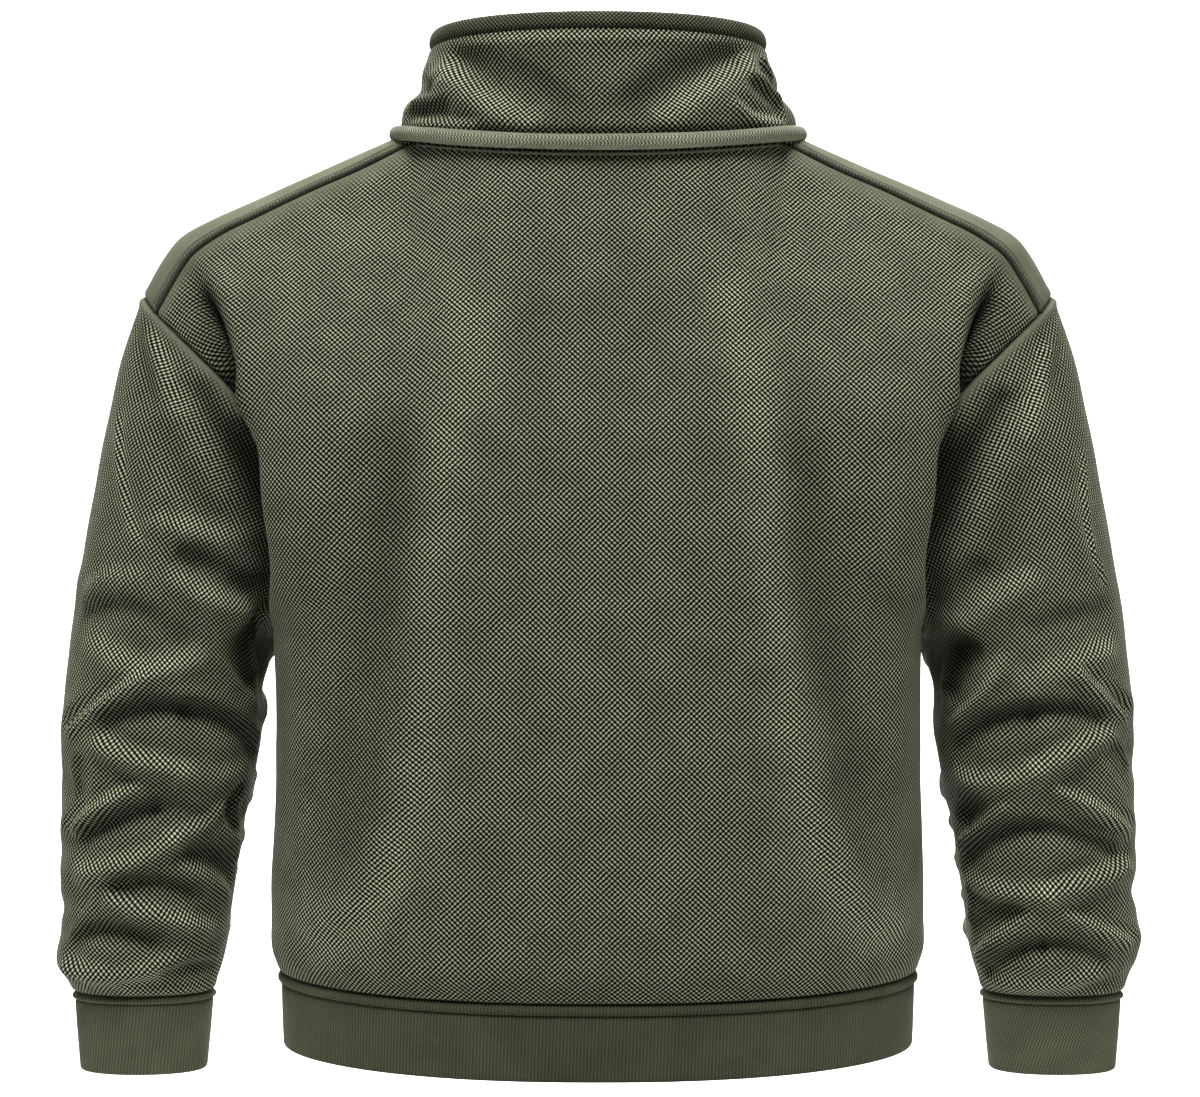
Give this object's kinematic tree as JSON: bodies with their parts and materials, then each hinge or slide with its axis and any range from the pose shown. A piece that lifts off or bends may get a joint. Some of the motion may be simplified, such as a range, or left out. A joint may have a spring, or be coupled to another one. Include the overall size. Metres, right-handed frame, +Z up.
{
  "type": "sweatshirt",
  "caption": "Pullover sweatshirt in its hollow worn shape, with a high funnel collar, a padded neck roll, dropped shoulders, long creased sleeves, rib cuffs and a rib hem band.",
  "frame": {"origin": "centre of the neck, level with the tops of the shoulders, where the wearer's shoulders hold the garment up", "axes": "+Z up, +X the wearer's left, +Y the back of the garment, so its front faces -Y"},
  "size_m": [0.8049, 0.2919, 0.7641],
  "materials": {
    "body_knit": "matt olive green bird's-eye pique knit with small raised dots and a soft sheen where it turns away",
    "collar_knit": "matt olive green bird's-eye pique knit, a little darker than the body",
    "roll_knit": "matt olive green knit, smooth and rounded",
    "rib_knit": "matt dark olive fine rib knit with upright ribs"
  },
  "bodies": {
    "root": {"back": "body_knit", "front": "body_knit", "sleeve_left": "body_knit", "sleeve_right": "body_knit", "collar": "collar_knit", "collar_band": "collar_knit", "neck_roll": "roll_knit", "cuff_left": "rib_knit", "cuff_right": "rib_knit", "hem_band": "rib_knit"}
  },
  "joints": []
}
